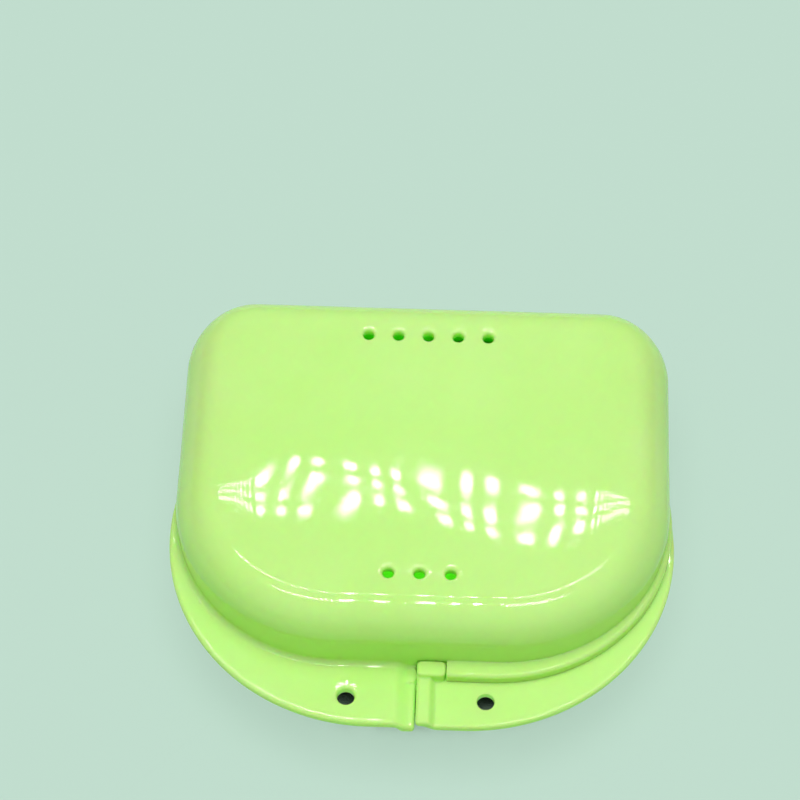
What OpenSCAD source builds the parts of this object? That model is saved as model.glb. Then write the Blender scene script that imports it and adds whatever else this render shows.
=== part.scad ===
// Hinged denture case of two identical moulded halves, one turned over on the other.
// Each half is a shallow shell with a rounded crown. Half of its rim carries a wide front
// tab with a cord hole, and the other half a narrow rim that rests on the opposite tab.
// Lengths are in millimetres. +Z is up and the opening side faces -Y.
// Origin: middle of the underside of the closed case.

/* [Shell] */
// Outside width of the shell, side to side
shell_w = 81.2; // [74:0.2:96]
// Outside depth of the shell, front to back
shell_d = 64; // [58:0.5:78]
// Height of one half, from the parting plane to its flat face
half_h = 13; // [10:0.5:20]
// Wall thickness of the shell and of the tab
wall = 1.5; // [1.2:0.1:2]
// Plan radius of the two back corners
back_r = 11.4; // [9:0.2:18]
// Plan radius of the two front corners
front_r = 27.4; // [20:0.2:30]
// Radius of the rounded edge round the flat face
crown_r = 6.2; // [4:0.2:8]

/* [Parting line] */
// Height of the parting line above or below the middle plane
seam_step = 0.5; // [0.3:0.1:1]
// Gap between the two halves where the parting line steps
seam_gap = 0.2; // [0.2:0.05:0.6]
// Thickness of the locating lip inside the tab side
lip_t = 0.8; // [0.6:0.1:1.2]
// How far the locating lip reaches into the other half
lip_h = 1.2; // [0.8:0.1:2]
// Height of the root that joins the lip to its wall
lip_root = 1.4; // [1:0.1:2.5]
// Running gap between the lip and the opposite wall
lip_gap = 0.15; // [0.1:0.05:0.4]

/* [Front tab] */
// How far the tab stands out in front of the shell
tab_reach = 11; // [9:0.5:15]
// How far the tab stands out beside the shell
tab_side = 1; // [0.4:0.1:2]
// Plan radius of the rounded tab
tab_r = 34; // [30:0.5:38]
// Width of the soft crown along the tab's outer edge
tab_crown_w = 2.8; // [1:0.1:3.4]
// How far the crown falls towards the edge
tab_crown_h = 0.2; // [0.1:0.05:0.3]
// Rounding of the tab's outer edge
tab_edge_r = 0.55; // [0.3:0.05:0.6]
// Rounding of the mating face's edge
tab_mating_r = 0.5; // [0.2:0.05:0.6]
// Rounding of the tab's stepped end
tab_end_r = 0.5; // [0.2:0.05:0.5]
// Radius of the fillet between tab and shell
tab_fillet_r = 1.3; // [0.8:0.1:2]
// How far the end of the tab steps across the parting plane
tab_dip = 1.2; // [0.8:0.1:1.6]
// Flat length at the stepped end of the tab, on its mating face
tab_flat = 1.9; // [1.6:0.1:2.6]
// Length of the steep slope on the mating face
tab_slope = 1.3; // [0.8:0.1:1.6]
// Flat length at the stepped end of the tab, on its outer face
tab_flat_outer = 0.8; // [0.4:0.1:1.2]
// Length of the soft slope on the outer face
tab_slope_outer = 2.8; // [2:0.1:4]
// Diameter of the cord hole through the tab
hole_d = 2.8; // [2:0.1:4]
// Distance of the cord hole from the middle
hole_x = 11.2; // [9:0.1:16]
// Distance of the cord hole from the tab's front edge
hole_inset = 4.8; // [4.6:0.1:6]

/* [Narrow rim] */
// How far the narrow rim stands out in front of the shell
rim_reach = 2.8; // [2:0.1:4]
// How far the narrow rim stands out beside the shell
rim_side = 0.6; // [0.2:0.1:1.2]
// Plan radius of the narrow rim
rim_r = 29.2; // [26:0.2:31]
// Height of the narrow rim
rim_h = 2; // [1.4:0.1:3]
// Rounding of the narrow rim's outer edge
rim_edge_r = 0.7; // [0.3:0.1:1]

/* [Catch] */
// Length of the catch lug along the front
lug_l = 4.6; // [3.5:0.1:6]
// Gap between the lug's end and the narrow rim beside it
lug_end_gap = 0.1; // [0.1:0.05:0.5]
// Gap between the lug and the wall that it hooks over
lug_gap = 0.15; // [0.1:0.05:0.4]
// Rounding of the lug's upright corners
lug_corner_r = 0.8; // [0.3:0.1:1]
// Radius of the bead on the lug
bead_r = 0.5; // [0.3:0.1:0.7]
// Play left between the bead and the plain wall
bead_play = 0.05; // [0.05:0.01:0.15]
// Depth of the groove that takes the bead
groove_depth = 0.25; // [0.15:0.05:0.4]

/* [Vents] */
// Diameter of a vent hole
vent_d = 1.8; // [1.2:0.1:3]
// Rounding of the outer rim of each vent and of the cord hole
hole_round = 0.5; // [0.2:0.1:0.8]
// Spacing of the vent holes
vent_pitch = 5; // [4:0.25:7]
// Number of vents in the back row
vents_back = 5; // [3:1:7]
// Number of vents in the front row
vents_front = 3; // [1:1:5]
// Distance of the back row from the back of the shell
vent_back_inset = 8.4; // [8:0.2:12]
// Distance of the front row from the front of the shell
vent_front_inset = 10; // [9:0.2:14]

/* [Hinge] */
// Distance of the hinge axis behind the shell
axis_out = 2.6; // [2.4:0.1:4]
// Gap between a knuckle and the wall that it turns past
knuckle_gap = 0.3; // [0.2:0.05:0.5]
// Diameter of the moulded hinge pin
pin_d = 2.4; // [2:0.1:2.8]
// Radial play between the pin and its hook
pin_play = 0.05; // [0.03:0.01:0.08]
// Distance of each hinge from the middle
hinge_x = 22; // [16:0.5:25]
// Width of the hook
hook_w = 7.6; // [5:0.2:10]
// Gap between the hook's arm and the other half's edge
arm_gap = 0.1; // [0.1:0.05:0.3]
// Side play between the hook and an ear
ear_play = 0.2; // [0.15:0.05:0.4]
// Thickness of an ear
ear_t = 1.5; // [1.2:0.1:2]
// Mouth of the hook, where it snaps over the pin
hook_mouth = 1.9; // [1.4:0.1:2.2]

/* [Hidden] */
$fn = 96;

// Plan, with the whole closed case centred in Y
half_w = shell_w / 2;
knuckle_r = axis_out - knuckle_gap;
depth = tab_reach + shell_d + axis_out + knuckle_r;
tab_front_y = -depth / 2;
shell_front_y = tab_front_y + tab_reach;
shell_back_y = shell_front_y + shell_d;
axis_y = shell_back_y + axis_out;
back_cx = half_w - back_r;
back_cy = shell_back_y - back_r;
front_cx = half_w - front_r;
front_cy = shell_front_y + front_r;
tab_cx = half_w + tab_side - tab_r;
tab_cy = tab_front_y + tab_r;
rim_cx = half_w + rim_side - rim_r;
rim_cy = shell_front_y - rim_reach + rim_r;

// Heights, from the middle plane of a half that lies as the lid
tab_low = -seam_step;
tab_top = tab_low + wall;
rim_low = seam_step;
rim_top = rim_low + rim_h;
lug_low = -rim_top;

// Places along the front
tab_end = -seam_gap / 2;
lug_out = tab_end - lug_l;
rim_start = -lug_out + lug_end_gap;
lug_front_y = shell_front_y - rim_reach;
lug_back_y = shell_front_y - lug_gap;
bead_z = (lug_low + tab_low) / 2;

// Hinge
bore_r = pin_d / 2 + pin_play;
ear_in = hook_w / 2 + ear_play;
arm_low = seam_step + arm_gap;

// Overlap that joins a feature to its wall, and reach of a cutting tool past a face
root = wall / 2;
past = 1;

// The tab's inner end is buried in the wall, and its fillet bites into the wall
buried = 0.45 * wall;
fillet_bite = 0.04;
// Where the tab is narrow, each round takes this much and a third of the width
least_round = 0.1;
// Sweep of the tab from straight ahead to where its edge is back inside the wall
tab_sink = 0.225;
tab_sweep = 180 - asin((tab_r - tab_side) / (tab_r + tab_sink));
round_steps = 28;
soft_steps = 10;
steep_steps = 7;
arc_steps = 5;
crown_steps = 3;
end_steps = 4;
tiny = 0.001;

function smooth(t) = (1 - cos(180 * min(1, max(0, t)))) / 2;

// Height of the tab's outer and mating faces where they step down towards the middle
function outer_z(x) =
    tab_top - tab_dip * smooth((x - tab_end + tab_flat_outer + tab_slope_outer) / tab_slope_outer);
function mating_z(x) =
    tab_low - tab_dip * smooth((x - tab_end + tab_flat + tab_slope) / tab_slope);

// Quarter of a disc
module quarter(r) {
    intersection() {
        circle(r = r);
        square(r);
    }
}

// Section from one radius to another, with its upper outer corner rounded
module rounded_section(from, to, low, high, edge_r) {
    translate([from, low]) square([to - edge_r - from, high - low]);
    translate([to - edge_r, low]) square([edge_r, high - edge_r - low]);
    translate([to - edge_r, high - edge_r]) quarter(edge_r);
}

// Wall and roof of the shell, from a corner's axis outwards
module shell_section(to) {
    difference() {
        rounded_section(0, to, tab_low, half_h, crown_r);
        rounded_section(-past, to - wall, tab_low - past, half_h - wall, crown_r - wall);
    }
}

// A section extruded towards -Y
module run(length) {
    rotate([90, 0, 0]) linear_extrude(length) children();
}

// Plan of the shell, moved inwards all round
module plan(inset) {
    for (side = [0, 1]) mirror([side, 0]) {
        translate([back_cx, back_cy]) quarter(back_r - inset);
        translate([front_cx, front_cy]) mirror([0, 1]) quarter(front_r - inset);
        translate([back_cx, front_cy]) square([back_r - inset, back_cy - front_cy]);
    }
    translate([-back_cx, front_cy]) square([2 * back_cx, shell_back_y - inset - front_cy]);
    translate([-front_cx, shell_front_y + inset]) square([2 * front_cx, front_r - inset]);
}

module prism(inset, low, high) {
    translate([0, 0, low]) linear_extrude(high - low) plan(inset);
}

// Shell with a plain lower edge
module shell() {
    for (side = [0, 1]) mirror([side, 0, 0]) {
        translate([back_cx, back_cy, 0]) rotate_extrude(angle = 90) shell_section(back_r);
        translate([front_cx, front_cy, 0]) rotate([0, 0, -90])
            rotate_extrude(angle = 90) shell_section(front_r);
        translate([back_cx, back_cy, 0]) run(back_cy - front_cy) shell_section(back_r);
    }
    translate([-back_cx, back_cy, 0]) rotate([0, 0, 90]) run(2 * back_cx) shell_section(back_r);
    translate([front_cx, front_cy, 0]) rotate([0, 0, -90]) run(2 * front_cx) shell_section(front_r);
    translate([-back_cx, front_cy, half_h - wall]) cube([2 * back_cx, back_cy - front_cy, wall]);
}

// Cutter for a hole that goes down from z = 0 through a wall, with its upper rim rounded
module rounded_hole(d) {
    translate([0, 0, -wall - past]) cylinder(d = d, h = wall + 2 * past);
    rotate_extrude() difference() {
        translate([0, -hole_round]) square([d / 2 + hole_round, hole_round + past]);
        translate([d / 2 + hole_round, -hole_round]) circle(r = hole_round);
    }
}

// One row of vent holes
module vent_row(count, y) {
    for (i = [0 : count - 1])
        translate([(i - (count - 1) / 2) * vent_pitch, y, half_h]) rounded_hole(vent_d);
}

// Fall of the tab's outer face towards its edge, at a distance from the edge
function crown(d) = tab_crown_h * max(0, 1 - d / tab_crown_w) ^ 2;

// Profile of the tab across its width, as [distance outwards, z] points. The wall of the
// shell stands at `inner`, and a fillet joins the outer face to it. The rounds shrink
// where the tab is narrow or thin.
function tab_profile(inner, outer, low, high) =
    let (room = least_round + max(0, outer - inner) / 3,
         thin = 0.48 * (high - low - tab_crown_h),
         edge = min(tab_edge_r, room, thin),
         mating = min(tab_mating_r, room, thin),
         fillet = min(tab_fillet_r, room),
         foot = min(inner - fillet_bite, outer - edge - fillet - fillet_bite),
         inmost = min(tab_crown_w, outer - foot - fillet),
         turns = [for (i = [0 : arc_steps]) 90 * i / arc_steps])
    concat(
        [[inner - buried, low]],
        [for (a = turns) [outer - mating * (1 - sin(a)), low + mating * (1 - cos(a))]],
        [for (a = turns) let (d = edge * (1 - cos(a)))
            [outer - d, high - crown(d) - edge * (1 - sin(a))]],
        [for (i = [1 : crown_steps]) let (d = edge + (inmost - edge) * i / crown_steps)
            [outer - d, high - crown(d)]],
        [for (a = turns) [foot + fillet * (1 - sin(a)), high - crown(inmost) + fillet * (1 - cos(a))]],
        [[inner - buried, high + fillet]]);

// Distance from the centre of the tab's round to the shell, at an angle from straight ahead
function shell_reach(turn) =
    let (dx = front_cx - tab_cx, dy = tab_cy - front_cy,
         along = dx * sin(turn) + dy * cos(turn),
         to_front = (tab_cy - shell_front_y) / max(tiny, cos(turn)),
         to_corner = along + sqrt(front_r ^ 2 - dx ^ 2 - dy ^ 2 + along ^ 2),
         to_side = (half_w - tab_cx) / sin(turn))
    to_front * sin(turn) < dx ? to_front : to_corner * cos(turn) < dy ? to_side : to_corner;

// Section of the tab at an angle round its corner, as [x, y, z] points
function round_row(turn) =
    [for (p = tab_profile(shell_reach(turn), tab_r, tab_low, tab_top))
        [-tab_cx - p[0] * sin(turn), tab_cy - p[0] * cos(turn), p[1]]];

// Section of the tab straight ahead, where it steps down towards the middle. All its faces
// draw in by `cut` at the rounded end.
function end_row(x, cut = 0) =
    [for (p = tab_profile(-shell_front_y, -tab_front_y - cut, mating_z(x) + cut, outer_z(x) - cut))
        [x, -p[0], p[1]]];

// Closed skin over rows of points
module loft(rows) {
    count = len(rows[0]);
    last = len(rows) - 1;
    polyhedron(
        points = [for (row = rows) each row],
        faces = concat(
            [[for (j = [count - 1 : -1 : 0]) j]],
            [[for (j = [0 : count - 1]) last * count + j]],
            [for (i = [0 : last - 1], j = [0 : count - 1]) let (k = (j + 1) % count)
                each [[i * count + j, i * count + k, (i + 1) * count + j],
                      [i * count + k, (i + 1) * count + k, (i + 1) * count + j]]]));
}

// Places in rising order, each kept once
function sorted(list) = len(list) < 2 ? list :
    let (first = min(list)) concat([first], sorted([for (v = list) if (v > first + tiny) v]));

// Wide tab on one side of the middle. It grows out of the side of the shell, rounds the
// corner, and ends in a step that crosses the parting plane.
module tab() {
    soft_x = [for (i = [0 : soft_steps]) tab_end - tab_flat_outer - tab_slope_outer * i / soft_steps];
    steep_x = [for (i = [0 : steep_steps]) tab_end - tab_flat - tab_slope * i / steep_steps];
    difference() {
        loft(concat(
            [for (i = [round_steps : -1 : 1]) round_row(tab_sweep * i / round_steps)],
            [for (x = sorted(concat([-tab_cx], soft_x, steep_x))) end_row(x)],
            [for (i = [0 : end_steps]) let (a = 90 * i / end_steps)
                end_row(tab_end - tab_end_r * (1 - sin(a)), tab_end_r * (1 - cos(a)))]));
        translate([lug_out, lug_back_y, tab_low - tab_dip - past])
            cube([lug_l + past, lug_gap + wall, tab_dip + past]);
    }
}

// Plan of a block with rounded corners
module rounded_plan(w, d, r) {
    for (x = [r, w - r], y = [r, d - r]) translate([x, y]) circle(r = r);
    translate([r, 0]) square([w - 2 * r, d]);
    translate([0, r]) square([w, d - 2 * r]);
}

// Lug that stands on the mating face and hooks over the opposite wall
module lug() {
    translate([lug_out, lug_front_y, lug_low]) linear_extrude(tab_low - lug_low)
        rounded_plan(lug_l, lug_back_y - lug_front_y, lug_corner_r);
    translate([lug_out, shell_front_y - bead_play - bead_r, bead_z]) rotate([0, 90, 0])
        cylinder(r = bead_r, h = lug_l);
}

// Narrow rim on the other side of the middle
module narrow_rim() {
    difference() {
        union() {
            translate([rim_cx, rim_cy, 0]) rotate([0, 0, -90]) rotate_extrude(angle = 180)
                rounded_section(0, rim_r, rim_low, rim_top, rim_edge_r);
            translate([rim_cx, rim_cy, 0]) rotate([0, 0, -90]) run(rim_cx - rim_start)
                rounded_section(0, rim_r, rim_low, rim_top, rim_edge_r);
        }
        prism(root, rim_low - past, rim_top + past);
    }
}

// Locating lip inside the wall on the tab side
module lip() {
    intersection() {
        union() {
            difference() {
                prism(wall + lip_gap, tab_low - lip_h, tab_low + lip_root);
                prism(wall + lip_gap + lip_t, tab_low - lip_h - past, tab_low + lip_root + past);
            }
            difference() {
                prism(root, tab_low, tab_low + lip_root);
                prism(wall + lip_gap + lip_t, tab_low - past, tab_low + lip_root + past);
            }
        }
        translate([-half_w, tab_front_y, tab_low - lip_h - past])
            cube([half_w + tab_end - lip_gap, depth, lip_h + lip_root + 2 * past]);
    }
}

// Two ears that carry the moulded pin
module pin_hinge() {
    translate([-hinge_x, axis_y, 0]) {
        for (side = [-1, 1]) translate([side * (ear_in + ear_t / 2), 0, 0]) {
            rotate([0, 90, 0]) cylinder(r = knuckle_r, h = ear_t, center = true);
            translate([-ear_t / 2, -axis_out - root, 0]) cube([ear_t, axis_out + root, knuckle_r]);
        }
        rotate([0, 90, 0]) cylinder(d = pin_d, h = 2 * ear_in + ear_t, center = true);
    }
}

// Open hook that turns on the pin of the other half
module hook_hinge() {
    translate([hinge_x, axis_y, 0]) difference() {
        union() {
            rotate([0, 90, 0]) cylinder(r = knuckle_r, h = hook_w, center = true);
            translate([-hook_w / 2, -axis_out - root, arm_low])
                cube([hook_w, axis_out + root, knuckle_r - arm_low]);
        }
        rotate([0, 90, 0]) cylinder(r = bore_r, h = hook_w + 2 * past, center = true);
        translate([-hook_w / 2 - past, -hook_mouth / 2, -knuckle_r - past])
            cube([hook_w + 2 * past, hook_mouth, knuckle_r + past]);
    }
}

// One moulding, lying as the lid
module half() {
    difference() {
        union() {
            difference() {
                shell();
                translate([tab_end, tab_front_y, tab_low - past])
                    cube([half_w + past, depth, past + 2 * seam_step]);
            }
            tab();
            lug();
            narrow_rim();
            lip();
            pin_hinge();
            hook_hinge();
        }
        vent_row(vents_back, shell_back_y - vent_back_inset);
        vent_row(vents_front, shell_front_y + vent_front_inset);
        translate([-hole_x, tab_front_y + hole_inset, tab_top]) rounded_hole(hole_d);
        translate([-lug_out - lug_l, shell_front_y - bead_r + groove_depth, -bead_z]) rotate([0, 90, 0])
            cylinder(r = bead_r, h = lug_l);
    }
}

// Lower half, turned over
module base() {
    color([0.74, 0.98, 0.52]) translate([0, 0, half_h]) rotate([0, 180, 0]) half();
}

// Upper half
module lid() {
    color([0.78, 0.99, 0.55]) translate([0, 0, half_h]) half();
}

base();
lid();
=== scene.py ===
"""Closed denture case in light green plastic, on a pale floor.

Each half of the case is one moulding. Its form is written once, as a distance field in the
place of the upper half, and meshed. The lower half is the same mesh turned over.
Lengths of the form are in millimetres; Blender's own lengths are metres.
"""

import math

import bpy
import numpy as np
from mathutils import Matrix, Vector


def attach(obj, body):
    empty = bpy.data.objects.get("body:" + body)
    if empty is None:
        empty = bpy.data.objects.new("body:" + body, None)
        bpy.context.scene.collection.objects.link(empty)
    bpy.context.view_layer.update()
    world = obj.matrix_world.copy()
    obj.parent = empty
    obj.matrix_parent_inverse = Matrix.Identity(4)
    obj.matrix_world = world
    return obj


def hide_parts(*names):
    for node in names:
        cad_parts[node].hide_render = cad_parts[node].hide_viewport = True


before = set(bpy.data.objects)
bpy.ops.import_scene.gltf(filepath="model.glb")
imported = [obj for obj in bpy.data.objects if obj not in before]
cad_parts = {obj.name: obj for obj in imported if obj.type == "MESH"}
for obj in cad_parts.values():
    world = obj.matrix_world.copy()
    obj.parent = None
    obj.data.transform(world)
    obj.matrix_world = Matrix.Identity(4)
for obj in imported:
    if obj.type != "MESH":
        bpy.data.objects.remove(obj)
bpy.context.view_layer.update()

MM = 0.001

# Shell
HALF_W = 40.6
HALF_H = 13.0
WALL = 1.5
FRONT_Y = -28.95
BACK_Y = 35.05
BACK_R = 11.4
FRONT_R = 27.4
CROWN_R = 6.2

# Parting line
SEAM_STEP = 0.5
SEAM_GAP = 0.1
LIP_GAP = 0.15
LIP_T = 0.8
LIP_H = 1.2
LIP_ROOT = 1.4

# Front tab
TAB_FRONT_Y = -39.95
TAB_R = 34.0
TAB_CX = -7.6
TAB_CY = TAB_FRONT_Y + TAB_R
TAB_CROWN_W = 0.9
TAB_CROWN_H = 0.06
TAB_EDGE_R = 0.55
TAB_MATING_R = 0.5
TAB_END_R = 0.65
TAB_FILLET_R = 1.0
TAB_DIP = 1.2
TAB_FLAT = 1.9
TAB_SLOPE = 1.3
TAB_FLAT_OUTER = 0.8
TAB_SLOPE_OUTER = 2.8
EDGE_LEAST = 0.1
TAB_END = -SEAM_GAP / 2
HOLE_D = 2.8
HOLE = (-11.2, TAB_FRONT_Y + 4.8)

# Narrow rim
RIM_R = 29.2
RIM_CX = 12.0
RIM_CY = FRONT_Y - 2.8 + RIM_R
RIM_H = 2.0
RIM_EDGE_R = 0.7
RIM_START = 4.76

# Catch
LUG_L = 4.6
LUG_X = TAB_END - LUG_L / 2
LUG_FRONT_Y = FRONT_Y - 2.8
LUG_BACK_Y = FRONT_Y - 0.1
LUG_CORNER_R = 0.8
LUG_TOP_R = 0.4
LUG_FILLET_R = 0.5
BEAD_R = 0.5
BEAD_Y = FRONT_Y - 0.55
GROOVE_Y = FRONT_Y - 0.25
BEAD_Z = 1.5

# Vents
VENT_D = 1.8
VENT_PITCH = 5.0
VENT_ROWS = ((BACK_Y - 8.4, 5), (FRONT_Y + 10.0, 3))

# Hinge
AXIS_Y = BACK_Y + 2.6
KNUCKLE_R = 2.3
PIN_R = 1.2
BORE_R = 1.25
HINGE_X = 22.0
HOOK_W = 7.6
EAR_IN = 4.0
EAR_T = 1.5
HOOK_MOUTH = 1.9
ARM_LOW = 0.6

# Moulded roundings
SHARP = 0.12
SOFT = 0.25
HOLE_ROUND = 0.5

# Shrinkage of the outer faces: waves, shoulders at the sides, and sinks behind the holes.
# A wave has its height, then its lengths over two pi and its shifts.
WAVE_BASE = 0.05
WAVE_BROAD = 0.035
BROAD_X, BROAD_Y = (9.5, -0.356), (10.0, 0.5)
WAVE_FINE = 0.008
FINE_ONE, FINE_TWO = (3.1, 5.2, 1.1), (4.4, 11.0)
SHOULDER_X = 0.25
SHOULDER_Y = -3.0
SHOULDER_IN = 16.0
SHOULDER_R = 11.5
SHOULDER_SPREAD = 6.0
SHOULDER_FALL = (0.003, 0.0006)
SINK_W = 2.0
SINK_DEPTH = 0.16
SINK_TURN = 0.2

# Grid that the mesh is made on
FINE, PLAIN, BROAD = 0.2, 0.32, 0.45
GRID_X = ((-42.4, PLAIN), (-14.6, FINE), (13.0, PLAIN), (42.4, PLAIN))
GRID_Y = ((-40.7, FINE), (-27.5, BROAD), (-20.8, FINE), (-16.0, BROAD), (24.8, FINE),
          (29.6, BROAD), (33.5, PLAIN), (40.9, PLAIN))
GRID_Z = ((-3.31, FINE), (3.3, PLAIN), (13.9, PLAIN))


# Distance fields --------------------------------------------------------------------------

def join(a, b, r):
    """Union of two fields with a fillet of radius r."""
    return np.maximum(r, np.minimum(a, b)) - np.hypot(np.maximum(r - a, 0), np.maximum(r - b, 0))


def meet(a, b, r):
    """Intersection of two fields with an edge rounded to radius r."""
    return -join(-a, -b, r)


def smooth(t):
    """Ease from 0 to 1 as t goes from 0 to 1."""
    return (1 - np.cos(np.pi * np.clip(t, 0, 1))) / 2


def plan(x, y):
    """Distance outside the shell's outline."""
    mid, reach = (FRONT_Y + BACK_Y) / 2, (BACK_Y - FRONT_Y) / 2
    r = np.where(y > mid, BACK_R, FRONT_R)
    qx, qy = np.abs(x) - HALF_W + r, np.abs(y - mid) - reach + r
    return np.minimum(np.maximum(qx, qy), 0) + np.hypot(np.maximum(qx, 0), np.maximum(qy, 0)) - r


def ripple(x, y):
    """Slight hollows and falling shoulders of the flat face, where the moulding shrank."""
    broad = np.sin(x / BROAD_X[0] + BROAD_X[1]) * np.sin(y / BROAD_Y[0] + BROAD_Y[1])
    fine = np.sin(x / FINE_ONE[0] + y / FINE_ONE[1] + FINE_ONE[2])
    fine = fine * np.cos(y / FINE_TWO[0] - x / FINE_TWO[1])
    end = np.maximum(np.abs(x - SHOULDER_X) - SHOULDER_IN, 0)
    across = SHOULDER_SPREAD * np.tanh((y - SHOULDER_Y) / SHOULDER_SPREAD)
    side = np.maximum(np.hypot(end, across) - SHOULDER_R, 0)
    square, cube = SHOULDER_FALL
    fall = square * side**2 + cube * side**3
    return WAVE_BASE + WAVE_BROAD * broad + WAVE_FINE * fine + fall


def sink(dx, dy, r):
    """Shallow sink of a face behind a hole of radius r, at an offset from its middle."""
    far = np.maximum(np.hypot(dx, dy), 0.1)
    reach = r + SINK_W
    return SINK_DEPTH * np.clip(1 - far / reach, 0, 1)**2 * smooth(dy / far + SINK_TURN)


def vent_offset(x, y, row):
    """Offset from the middle of the nearest vent of a row."""
    row_y, count = row
    at = np.clip(np.round(x / VENT_PITCH), -(count // 2), count // 2) * VENT_PITCH
    return x - at, y - row_y


def wall_and_roof(x, y, z, rim):
    """Domed shell with its inside, going on past the parting plane."""
    sinks = sum(sink(*vent_offset(x, y, row), VENT_D / 2) for row in VENT_ROWS)
    top = z - HALF_H + ripple(x, y) + sinks
    outer = meet(rim, top, CROWN_R)
    inner = meet(rim + WALL, z - HALF_H + WALL, CROWN_R - WALL)
    return np.maximum(outer, -inner)


def shell(x, z, wall):
    """The wall down to the parting line, which steps at the middle."""
    step = np.minimum(x + SEAM_GAP / 2, SEAM_STEP - z)
    return meet(meet(wall, -SEAM_STEP - z, SHARP), step, SHARP)


def wide_tab(x, y, z, rim, wall):
    """Tab with a fillet to the wall, which steps across the parting plane at its end."""
    reach = np.hypot(np.minimum(x - TAB_CX, 0), y - TAB_CY) - TAB_R
    room = EDGE_LEAST + np.maximum(rim - reach, 0) / 3
    outer_z = WALL - SEAM_STEP - TAB_DIP * smooth(
        (x - TAB_END + TAB_FLAT_OUTER + TAB_SLOPE_OUTER) / TAB_SLOPE_OUTER)
    mating_z = -SEAM_STEP - TAB_DIP * smooth((x - TAB_END + TAB_FLAT + TAB_SLOPE) / TAB_SLOPE)
    crown = TAB_CROWN_H * np.clip(1 + reach / TAB_CROWN_W, 0, 2)**2
    crown = crown + sink(x - HOLE[0], y - HOLE[1], HOLE_D / 2)
    slab = meet(reach, z - outer_z + crown, np.minimum(TAB_EDGE_R, room))
    slab = np.maximum(slab, -(rim + WALL / 2))
    tab = join(wall, slab, np.minimum(TAB_FILLET_R, room))
    tab = meet(tab, mating_z - z, np.minimum(TAB_MATING_R, room))
    tab = np.maximum(tab, np.minimum(y - LUG_BACK_Y, -SEAM_STEP - z))
    return meet(tab, x - TAB_END, TAB_END_R)


def narrow_rim(x, y, z, rim):
    """Low rim on the other side, which rests on the other half's tab."""
    rest = np.hypot(np.maximum(x - RIM_CX, 0), y - RIM_CY) - RIM_R
    rest = meet(rest, z - SEAM_STEP - RIM_H, RIM_EDGE_R)
    rest = meet(meet(rest, SEAM_STEP - z, SHARP), RIM_START - x, SOFT)
    return np.maximum(rest, -(rim + WALL / 2))


def lug(x, y, z):
    """Catch lug under the tab, with its bead."""
    r = LUG_CORNER_R
    qx = np.abs(x - LUG_X) - LUG_L / 2 + r
    qy = np.abs(y - (LUG_FRONT_Y + LUG_BACK_Y) / 2) - (LUG_BACK_Y - LUG_FRONT_Y) / 2 + r
    post = np.minimum(np.maximum(qx, qy), 0) + np.hypot(np.maximum(qx, 0), np.maximum(qy, 0)) - r
    post = meet(post, -SEAM_STEP - RIM_H - z, LUG_TOP_R)
    bead = np.hypot(y - BEAD_Y, z + BEAD_Z) - BEAD_R
    bead = np.maximum(bead, np.abs(x - LUG_X) - LUG_L / 2)
    return np.maximum(join(post, bead, SHARP), z)


def lip(x, z, rim):
    """Locating lip inside the wall, on the tab's side, with its root on the wall."""
    fin = np.maximum(rim + WALL + LIP_GAP, -(rim + WALL + LIP_GAP + LIP_T))
    fin = meet(fin, -SEAM_STEP - LIP_H - z, SOFT)
    root = np.maximum(rim + WALL / 2, -(rim + WALL + LIP_GAP + LIP_T))
    root = meet(root, -SEAM_STEP - z, SHARP)
    fin = meet(np.minimum(fin, root), z - LIP_ROOT + SEAM_STEP, SOFT)
    return meet(fin, x - TAB_END + LIP_GAP, SHARP)


def hinge_arm(y, z, low):
    """Round end about the hinge's axis and the arm from it to the back wall, without sides."""
    knuckle = np.hypot(y - AXIS_Y, z) - KNUCKLE_R
    back = np.maximum(y - AXIS_Y, BACK_Y - WALL / 2 - y)
    return np.minimum(knuckle, np.maximum(back, np.maximum(z - KNUCKLE_R, low - z)))


def ears(x, y, z):
    """Two ears with the pin between them."""
    across = np.abs(x + HINGE_X)
    ear = meet(hinge_arm(y, z, 0), np.abs(across - EAR_IN - EAR_T / 2) - EAR_T / 2, SOFT)
    pin = np.maximum(np.hypot(y - AXIS_Y, z) - PIN_R, across - EAR_IN - EAR_T / 2)
    return join(ear, pin, SHARP)


def hook(x, y, z):
    """Hook, open downward, that turns on the other half's pin."""
    arm = meet(hinge_arm(y, z, ARM_LOW), np.abs(x - HINGE_X) - HOOK_W / 2, SOFT)
    arm = meet(arm, BORE_R - np.hypot(y - AXIS_Y, z), SHARP)
    return np.maximum(arm, np.minimum(HOOK_MOUTH / 2 - np.abs(y - AXIS_Y), -z))


def pierced(body, x, y, z):
    """The body with its vents, its cord hole and the groove for the other half's bead."""
    offsets = [vent_offset(x, y, row) for row in VENT_ROWS]
    vents = np.minimum(*(np.hypot(*offset) for offset in offsets)) - VENT_D / 2
    cord = np.hypot(x - HOLE[0], y - HOLE[1]) - HOLE_D / 2
    body = meet(body, -vents, np.where(z > HALF_H - WALL / 2, HOLE_ROUND, SHARP))
    body = meet(body, -cord, np.where(z > WALL / 2 - SEAM_STEP, HOLE_ROUND, SHARP))
    groove = np.hypot(y - GROOVE_Y, z - BEAD_Z) - BEAD_R
    groove = np.maximum(groove, np.abs(x + LUG_X) - LUG_L / 2)
    return meet(body, -groove, SHARP)


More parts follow.
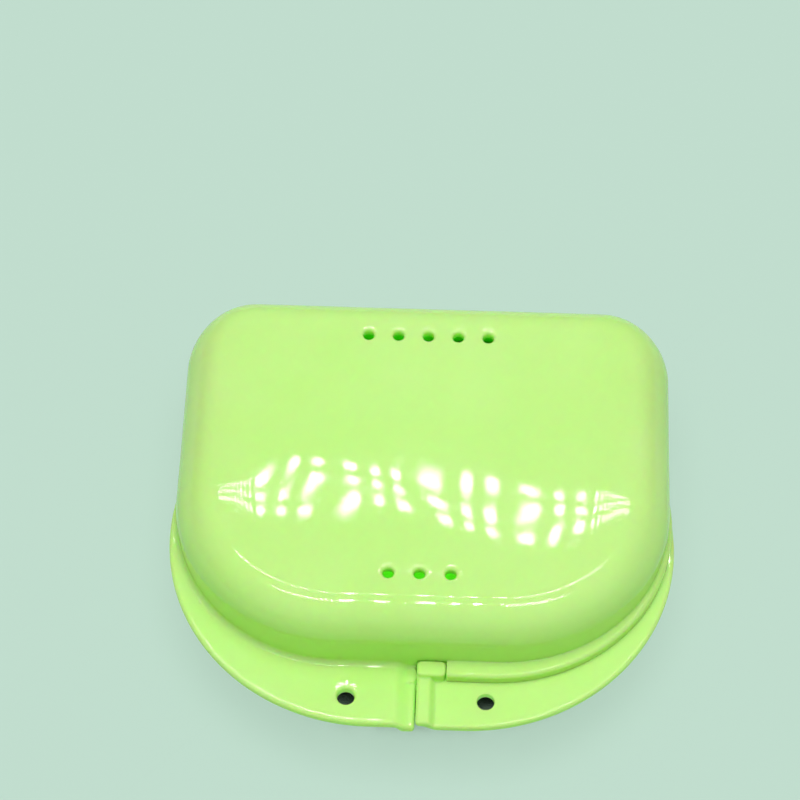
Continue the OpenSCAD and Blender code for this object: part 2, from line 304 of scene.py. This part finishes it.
def half(x, y, z):
    """One moulding, lying as the lid. The parting plane is z = 0."""
    rim = plan(x, y)
    wall = wall_and_roof(x, y, z, rim)
    body = np.minimum(shell(x, z, wall), wide_tab(x, y, z, rim, wall))
    body = join(body, narrow_rim(x, y, z, rim), SHARP)
    fillet = LUG_FILLET_R * smooth(LUG_BACK_Y - 1 - y) * smooth(x - LUG_X + LUG_L / 2)
    body = join(body, lug(x, y, z), fillet)
    body = join(body, lip(x, z, rim), SHARP)
    body = join(body, ears(x, y, z), SOFT)
    body = join(body, hook(x, y, z), SOFT)
    return pierced(body, x, y, z)


def gradient(p, h=0.01):
    """Slope of the field at points p, by central differences."""
    g = np.empty_like(p)
    for axis in range(3):
        a, b = p.copy(), p.copy()
        a[:, axis] += h
        b[:, axis] -= h
        g[:, axis] = (half(*a.T) - half(*b.T)) / (2 * h)
    return g


# Meshing ----------------------------------------------------------------------------------

def spaced(stops):
    """Grid lines from (place, spacing) stops: each spacing holds up to the next place."""
    lines = [np.arange(0)]
    for (a, step), (b, _) in zip(stops, stops[1:]):
        n = max(1, round((b - a) / step))
        lines.append(a + (b - a) * np.arange(n) / n)
    return np.concatenate(lines + [[stops[-1][0]]])


def surface(xs, ys, zs):
    """Points and quads of the surface where the field is zero, by surface nets."""
    f = np.stack([half(*np.meshgrid(x, ys, zs, indexing="ij"))[0] for x in xs.reshape(-1, 1)])
    inside = f < 0
    nx, ny, nz = (n - 1 for n in f.shape)
    count = sum(inside[i:i + nx, j:j + ny, k:k + nz].astype(np.int8)
                for i in (0, 1) for j in (0, 1) for k in (0, 1))
    mixed = (count > 0) & (count < 8)
    cells = np.argwhere(mixed)
    index = np.full(mixed.shape, -1, np.int64)
    index[mixed] = np.arange(len(cells))

    # Mean of the crossings on each cell's edges
    at = np.zeros((len(cells), 3))
    hits = np.zeros(len(cells))
    lines = (xs, ys, zs)
    for axis in range(3):
        others = [a for a in range(3) if a != axis]
        for u in (0, 1):
            for v in (0, 1):
                low = cells.copy()
                low[:, others[0]] += u
                low[:, others[1]] += v
                high = low.copy()
                high[:, axis] += 1
                a, b = f[tuple(low.T)], f[tuple(high.T)]
                cross = (a < 0) != (b < 0)
                t = np.where(cross, a / np.where(cross, a - b, 1), 0)
                p = np.stack([lines[m][low[:, m]] for m in range(3)], 1)
                p[:, axis] += t * (lines[axis][high[:, axis]] - lines[axis][low[:, axis]])
                at += p * cross[:, None]
                hits += cross
    points = at / hits[:, None]

    quads = []
    for axis in range(3):
        b, c = (axis + 1) % 3, (axis + 2) % 3
        first = [slice(1, -1)] * 3
        first[axis] = slice(0, -1)
        second = list(first)
        second[axis] = slice(1, None)
        one, two = inside[tuple(first)], inside[tuple(second)]
        for flip in (False, True):
            spots = np.argwhere((two & ~one) if flip else (one & ~two))
            for m in range(3):
                if m != axis:
                    spots[:, m] += 1
            ring = []
            for db, dc in ((-1, -1), (0, -1), (0, 0), (-1, 0)):
                s = spots.copy()
                s[:, b] += db
                s[:, c] += dc
                ring.append(index[tuple(s.T)])
            quad = np.stack(ring, 1)
            quads.append(quad[:, ::-1] if flip else quad)
    return points, np.concatenate(quads)


def settle(points, reach=0.3, rounds=5):
    """Points moved onto the surface, each by no more than reach."""
    start = points.copy()
    for _ in range(rounds):
        g = gradient(points)
        size = np.maximum((g**2).sum(1), 0.05)
        points = points - g * (half(*points.T) / size)[:, None]
        points = start + np.clip(points - start, -reach, reach)
    return points


def half_mesh():
    """Mesh of one moulding, in metres, with the field's own normals."""
    points, quads = surface(spaced(GRID_X), spaced(GRID_Y), spaced(GRID_Z))
    points = settle(points)
    normals = gradient(points)
    normals /= np.linalg.norm(normals, axis=1, keepdims=True)

    mesh = bpy.data.meshes.new("half")
    mesh.vertices.add(len(points))
    mesh.vertices.foreach_set("co", (points * MM).ravel())
    mesh.loops.add(quads.size)
    mesh.loops.foreach_set("vertex_index", quads.ravel())
    mesh.polygons.add(len(quads))
    mesh.polygons.foreach_set("loop_start", np.arange(0, quads.size, 4))
    mesh.polygons.foreach_set("use_smooth", np.ones(len(quads), bool))
    mesh.update(calc_edges=True)
    mesh.validate()
    mesh.normals_split_custom_set_from_vertices(normals)
    return mesh


# Material ---------------------------------------------------------------------------------

IOR = 1.49
SCATTER_SHARE, SCATTER_RADIUS, SCATTER_SCALE = 0.6, (0.4, 1.0, 0.12), 0.003
GREEN = ((0.550, 0.962, 0.235, 1), (0.585, 0.980, 0.275, 1))
ROUGHNESS = ((0.015, 0.015, 0.015, 1), (0.04, 0.04, 0.04, 1))
CLOUD_SCALE, TEXTURE_SCALE = 45, 900
TEXTURE_STRENGTH, TEXTURE_HEIGHT = 0.2, 0.0000025
# Painted shade: what the green is multiplied by, on faces whose normal rises by UPRIGHT at most,
# and by LEVEL
WALL_PAINTED_SHADE, PLAIN_TINT = (0.93, 1.0, 0.62, 1), (1, 1, 1, 1)
UPRIGHT, LEVEL = 0.15, 0.7


def plastic(name):
    """Glossy light green polypropylene, faintly clouded, with fine moulding texture, and painted
    shade on upright walls.
    """
    mat = bpy.data.materials.new(name)
    mat.use_nodes = True
    nodes, links = mat.node_tree.nodes, mat.node_tree.links
    shader = nodes["Principled BSDF"]
    shader.inputs["IOR"].default_value = IOR
    shader.inputs["Subsurface Weight"].default_value = SCATTER_SHARE
    shader.inputs["Subsurface Radius"].default_value = SCATTER_RADIUS
    shader.inputs["Subsurface Scale"].default_value = SCATTER_SCALE

    place = nodes.new("ShaderNodeTexCoord")
    where = place.outputs["Object"]

    def noise(scale, detail):
        n = nodes.new("ShaderNodeTexNoise")
        n.inputs["Scale"].default_value = scale
        n.inputs["Detail"].default_value = detail
        links.new(where, n.inputs["Vector"])
        return n.outputs["Fac"]

    def ramp(value, colours, low_at=0.3, high_at=0.7):
        r = nodes.new("ShaderNodeValToRGB")
        low, high = r.color_ramp.elements
        low.position, high.position = low_at, high_at
        low.color, high.color = colours
        links.new(value, r.inputs["Fac"])
        return r.outputs["Color"]

    # Painted shade: upright walls are painted a deeper green, for the light that has gone
    # through the plastic.
    axes = nodes.new("ShaderNodeSeparateXYZ")
    links.new(place.outputs["Normal"], axes.inputs["Vector"])
    level = nodes.new("ShaderNodeMath")
    level.operation = "ABSOLUTE"
    links.new(axes.outputs["Z"], level.inputs[0])
    painted_shade = ramp(level.outputs[0], (WALL_PAINTED_SHADE, PLAIN_TINT), UPRIGHT, LEVEL)

    shaded_green = nodes.new("ShaderNodeVectorMath")
    shaded_green.operation = "MULTIPLY"
    links.new(ramp(noise(CLOUD_SCALE, 3), GREEN), shaded_green.inputs[0])
    links.new(painted_shade, shaded_green.inputs[1])
    links.new(shaded_green.outputs[0], shader.inputs["Base Color"])
    links.new(ramp(noise(TEXTURE_SCALE, 4), ROUGHNESS), shader.inputs["Roughness"])

    bump = nodes.new("ShaderNodeBump")
    bump.inputs["Strength"].default_value = TEXTURE_STRENGTH
    bump.inputs["Distance"].default_value = TEXTURE_HEIGHT
    links.new(noise(TEXTURE_SCALE, 2), bump.inputs["Height"])
    links.new(bump.outputs["Normal"], shader.inputs["Normal"])
    return mat


def place_half(mesh, name, turned):
    """Half of the case: the lid as it is, and the base turned over about the y axis."""
    obj = bpy.data.objects.new(name, mesh)
    bpy.context.scene.collection.objects.link(obj)
    turn = Matrix.Rotation(math.pi if turned else 0, 4, "Y")
    obj.matrix_world = Matrix.Translation((0, 0, HALF_H * MM)) @ turn
    mesh.materials.append(plastic(f"green_plastic_{name}"))
    return obj


moulding = half_mesh()
for node, turned in (("lid", False), ("base", True)):
    piece = place_half(moulding.copy(), f"{node}_moulding", turned)
    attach(piece, node)
    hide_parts(node)


# Camera -----------------------------------------------------------------------------------

PITCH, YAW, ROLL = 57.12, 2.17, -0.07
DISTANCE, FOCAL = 526.79, 3172.14
SHIFT_X, SHIFT_Y = 3.80, -18.69
PICTURE_W, SENSOR = 800, 36.0


def add_camera():
    """Camera at the photograph's angle, which looks down on the front of the case."""
    pitch, yaw, roll = (math.radians(v) for v in (PITCH, YAW, ROLL))
    back = Vector((math.sin(yaw) * math.cos(pitch), -math.cos(yaw) * math.cos(pitch),
                   math.sin(pitch)))
    right = Vector((math.cos(yaw), math.sin(yaw), 0))
    up = back.cross(right)
    right, up = (right * math.cos(roll) + up * math.sin(roll),
                 up * math.cos(roll) - right * math.sin(roll))
    place = back * DISTANCE - right * SHIFT_X - up * SHIFT_Y + Vector((0, 0, HALF_H))
    data = bpy.data.cameras.new("camera")
    data.sensor_width = SENSOR
    data.lens = FOCAL * SENSOR / PICTURE_W
    data.clip_start, data.clip_end = 0.01, 20
    cam = bpy.data.objects.new("camera", data)
    bpy.context.scene.collection.objects.link(cam)
    turn = Matrix((right, up, back)).transposed().to_4x4()
    cam.matrix_world = Matrix.Translation(place * MM) @ turn
    bpy.context.scene.camera = cam


add_camera()


# Floor and light --------------------------------------------------------------------------

FLOOR_COLOUR = (0.533, 0.723, 0.617, 1)
# Painted shadow: the floor's colour where ambient occlusion finds the case close by
FLOOR_PAINTED_SHADOW = (0.01, 0.015, 0.01, 1)
FLOOR_EVEN = 0.8
FLOOR_ROUGHNESS = 0.9
FLOOR_REACH = 4.0
FLOOR_NEAR = 16.0
SHADE_AT, CLEAR_AT = 0.32, 0.42
SHADE_SAMPLES = 40
WORLD_STRENGTH = 0.6
HORIZON, ZENITH = (0.14, 0.14, 0.14, 1), (1, 1, 1, 1)

# Strips of small lamps over the case: middle, rows, columns, pitches along and across the
# strip, and the width and height of one lamp
LAMP_GLOW = 32
LAMP_OUTLINE = ((-.6, -1), (.6, -1), (1, -.6), (1, .6), (.6, 1), (-.6, 1), (-1, .6), (-1, -.6))
STRIPS = (((-11, 417, 726), 3, 36, 12.6, 8.4, 5.2, 4.8),
          ((-8, 284, 726), 1, 36, 12.6, 0, 4.6, 48.0),
          ((-6, -12, 726), 1, 36, 12.6, 0, 4.6, 90.0))
AIM = (0, 0, 26)

# Square lamps, in metres and watts. The one inside stands for the light that the thin walls
# let into the closed case.
SOFT_AT, SOFT_TO, SOFT_SIZE, SOFT_POWER = (0, -0.05, 1.3), (0, 0, 0.02), 0.9, 11.5
INSIDE_AT, INSIDE_TO = (0, 0.006, HALF_H * MM), (0, 0.006, 0)
INSIDE_SIZE, INSIDE_POWER, INSIDE_COLOUR = 0.05, 0.005, (0.2, 1.0, 0.06)


def emission(tree, colour, strength=1.0):
    node = tree.nodes.new("ShaderNodeEmission")
    node.inputs["Color"].default_value = colour
    node.inputs["Strength"].default_value = strength
    return node.outputs["Emission"]


def combine(tree, operation, a, b):
    """Output of a math node on two outputs."""
    node = tree.nodes.new("ShaderNodeMath")
    node.operation = operation
    tree.links.new(a, node.inputs[0])
    tree.links.new(b, node.inputs[1])
    return node.outputs[0]


def add_mesh(name, verts, faces, mat):
    mesh = bpy.data.meshes.new(name)
    mesh.from_pydata(verts, [], faces)
    mesh.materials.append(mat)
    obj = bpy.data.objects.new(name, mesh)
    bpy.context.scene.collection.objects.link(obj)
    return obj


def add_floor():
    """Pale floor, seen partly at an even level, with a painted shadow: near the case its colour
    goes to near black.
    """
    mat = bpy.data.materials.new("floor")
    mat.use_nodes = True
    tree = mat.node_tree
    shader = tree.nodes["Principled BSDF"]
    shader.inputs["Roughness"].default_value = FLOOR_ROUGHNESS
    shader.inputs["Specular IOR Level"].default_value = 0.0
    even = tree.nodes.new("ShaderNodeMixShader")
    path = tree.nodes.new("ShaderNodeLightPath").outputs
    seen = combine(tree, "MAXIMUM", path["Is Camera Ray"], path["Is Glossy Ray"])
    seen = combine(tree, "MAXIMUM", seen, path["Is Transmission Ray"])
    # Painted shadow: where ambient occlusion finds the case close, the floor is painted near
    # black and its even share drops to nothing.
    near = tree.nodes.new("ShaderNodeAmbientOcclusion")
    near.samples = SHADE_SAMPLES
    near.inputs["Distance"].default_value = FLOOR_NEAR * MM
    clear = tree.nodes.new("ShaderNodeMapRange")
    clear.inputs["From Min"].default_value = SHADE_AT
    clear.inputs["From Max"].default_value = CLEAR_AT
    clear.inputs["To Max"].default_value = FLOOR_EVEN
    tree.links.new(near.outputs["AO"], clear.inputs["Value"])
    painted_shade = tree.nodes.new("ShaderNodeValToRGB")
    dark, pale = painted_shade.color_ramp.elements
    dark.position, pale.position = SHADE_AT, CLEAR_AT
    dark.color, pale.color = FLOOR_PAINTED_SHADOW, FLOOR_COLOUR
    tree.links.new(near.outputs["AO"], painted_shade.inputs["Fac"])
    tree.links.new(painted_shade.outputs["Color"], shader.inputs["Base Color"])
    share = combine(tree, "MULTIPLY", seen, clear.outputs["Result"])
    tree.links.new(share, even.inputs["Fac"])
    tree.links.new(shader.outputs["BSDF"], even.inputs[1])
    tree.links.new(emission(tree, FLOOR_COLOUR), even.inputs[2])
    tree.links.new(even.outputs[0], tree.nodes["Material Output"].inputs["Surface"])
    r = FLOOR_REACH
    add_mesh("floor", [(-r, -r, 0), (r, -r, 0), (r, r, 0), (-r, r, 0)], [(0, 1, 2, 3)], mat)


def add_strip(name, middle, rows, columns, pitch, row_pitch, width, height):
    """Strip of small lamps that faces the case. Only its reflection shows."""
    mat = bpy.data.materials.new(name)
    mat.use_nodes = True
    tree = mat.node_tree
    tree.links.new(emission(tree, (1, 1, 1, 1), LAMP_GLOW),
                   tree.nodes["Material Output"].inputs["Surface"])
    place = Vector(middle)
    normal = (Vector(AIM) - place).normalized()
    across = Vector((1, 0, 0))
    up = normal.cross(across).normalized()
    verts, faces = [], []
    for row in range(rows):
        for column in range(columns):
            at = (place + across * (column - (columns - 1) / 2) * pitch
                  + up * (row - (rows - 1) / 2) * row_pitch)
            faces.append([len(verts) + k for k in range(8)])
            for a, b in LAMP_OUTLINE:
                verts.append((at + across * a * width / 2 + up * b * height / 2) * MM)
    obj = add_mesh(name, verts, faces, mat)
    obj.visible_camera = obj.visible_shadow = obj.visible_diffuse = False


def add_area(name, place, target, size, power, colour=(1, 1, 1)):
    """Square lamp whose own reflection doesn't show."""
    data = bpy.data.lights.new(name, "AREA")
    data.shape, data.size, data.energy, data.color = "SQUARE", size, power, colour
    obj = bpy.data.objects.new(name, data)
    bpy.context.scene.collection.objects.link(obj)
    obj.location = place
    obj.rotation_euler = (Vector(target) - Vector(place)).to_track_quat("-Z", "Y").to_euler()
    obj.visible_camera = obj.visible_glossy = False


def add_world():
    """White sky overhead that falls to grey at the horizon."""
    world = bpy.data.worlds.new("world")
    bpy.context.scene.world = world
    world.use_nodes = True
    nodes, links = world.node_tree.nodes, world.node_tree.links
    background = nodes["Background"]
    background.inputs["Strength"].default_value = WORLD_STRENGTH
    split = nodes.new("ShaderNodeSeparateXYZ")
    shade = nodes.new("ShaderNodeValToRGB")
    low, high = shade.color_ramp.elements
    low.color, high.color = HORIZON, ZENITH
    links.new(nodes.new("ShaderNodeTexCoord").outputs["Generated"], split.inputs["Vector"])
    links.new(split.outputs["Z"], shade.inputs["Fac"])
    links.new(shade.outputs["Color"], background.inputs["Color"])


add_floor()
for index, (middle, rows, columns, pitch, row_pitch, width, height) in enumerate(STRIPS):
    add_strip(f"lamp_strip_{index}", middle, rows, columns, pitch, row_pitch, width, height)
add_world()
add_area("soft", SOFT_AT, SOFT_TO, SOFT_SIZE, SOFT_POWER)
add_area("inside", INSIDE_AT, INSIDE_TO, INSIDE_SIZE, INSIDE_POWER, INSIDE_COLOUR)

bpy.context.scene.view_settings.view_transform = "Standard"
bpy.context.view_layer.update()
